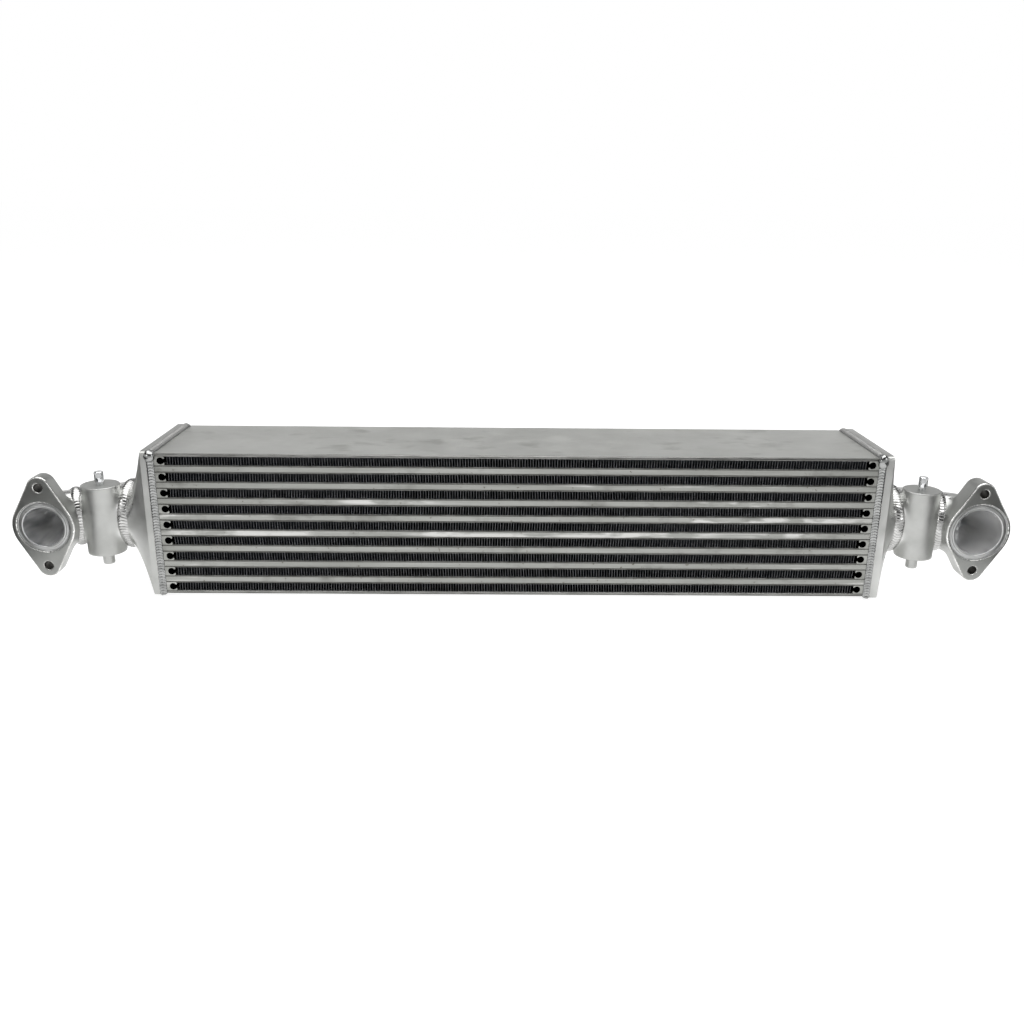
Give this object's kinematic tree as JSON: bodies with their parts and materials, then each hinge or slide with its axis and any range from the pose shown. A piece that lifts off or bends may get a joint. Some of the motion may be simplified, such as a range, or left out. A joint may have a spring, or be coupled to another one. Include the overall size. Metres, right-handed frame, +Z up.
{
  "type": "intercooler",
  "caption": "Long welded aluminium bar-and-plate intercooler with dark corrugated fins, hopper end tanks, mounting posts with pins and front-facing two-bolt flanged ports.",
  "frame": {"origin": "centre of the underside of the core's lower end plate", "axes": "+X along the core towards the end with the larger port, +Y from the side that the ports face to the back, +Z up"},
  "size_m": [0.9487, 0.1303, 0.1485],
  "materials": {
    "core_plates": "satin rolled sheet",
    "core_bars": "brazed, satin with brighter worn patches",
    "cooling_fins": "dark blue-grey, slightly glossy",
    "parting_sheets": "brazed sheet",
    "turbulators": "plain sheet",
    "tanks": "satin cast",
    "weld_beads": "rippled weld metal, bright",
    "mount_bodies": "satin cast, top face machined",
    "port_elbows": "satin cast, face, bore and groove machined",
    "locating_pins": "polished"
  },
  "bodies": {
    "root": {"ambient_fin_1": "cooling_fins", "ambient_fin_2": "cooling_fins", "ambient_fin_3": "cooling_fins", "ambient_fin_4": "cooling_fins", "ambient_fin_5": "cooling_fins", "ambient_fin_6": "cooling_fins", "ambient_fin_7": "cooling_fins", "ambient_fin_8": "cooling_fins", "ambient_fin_9": "cooling_fins", "bottom_plate": "core_plates", "charge_bars_1": "core_bars", "charge_bars_2": "core_bars", "charge_bars_3": "core_bars", "charge_bars_4": "core_bars", "charge_bars_5": "core_bars", "charge_bars_6": "core_bars", "charge_bars_7": "core_bars", "charge_bars_8": "core_bars", "end_bars_1": "core_bars", "end_bars_2": "core_bars", "end_bars_3": "core_bars", "end_bars_4": "core_bars", "end_bars_5": "core_bars", "end_bars_6": "core_bars", "end_bars_7": "core_bars", "end_bars_8": "core_bars", "end_bars_9": "core_bars", "left_mount_body": "mount_bodies", "left_port_elbow": "port_elbows", "left_tank": "tanks", "left_tank_weld": "weld_beads", "parting_sheets_1": "parting_sheets", "parting_sheets_2": "parting_sheets", "parting_sheets_3": "parting_sheets", "parting_sheets_4": "parting_sheets", "parting_sheets_5": "parting_sheets", "parting_sheets_6": "parting_sheets", "parting_sheets_7": "parting_sheets", "parting_sheets_8": "parting_sheets", "right_mount_body": "mount_bodies", "right_port_elbow": "port_elbows", "right_tank": "tanks", "right_tank_weld": "weld_beads", "top_pins": "locating_pins", "top_plate": "core_plates", "turbulator_1": "turbulators", "turbulator_2": "turbulators", "turbulator_3": "turbulators", "turbulator_4": "turbulators", "turbulator_5": "turbulators", "turbulator_6": "turbulators", "turbulator_7": "turbulators", "turbulator_8": "turbulators"}
  },
  "joints": []
}
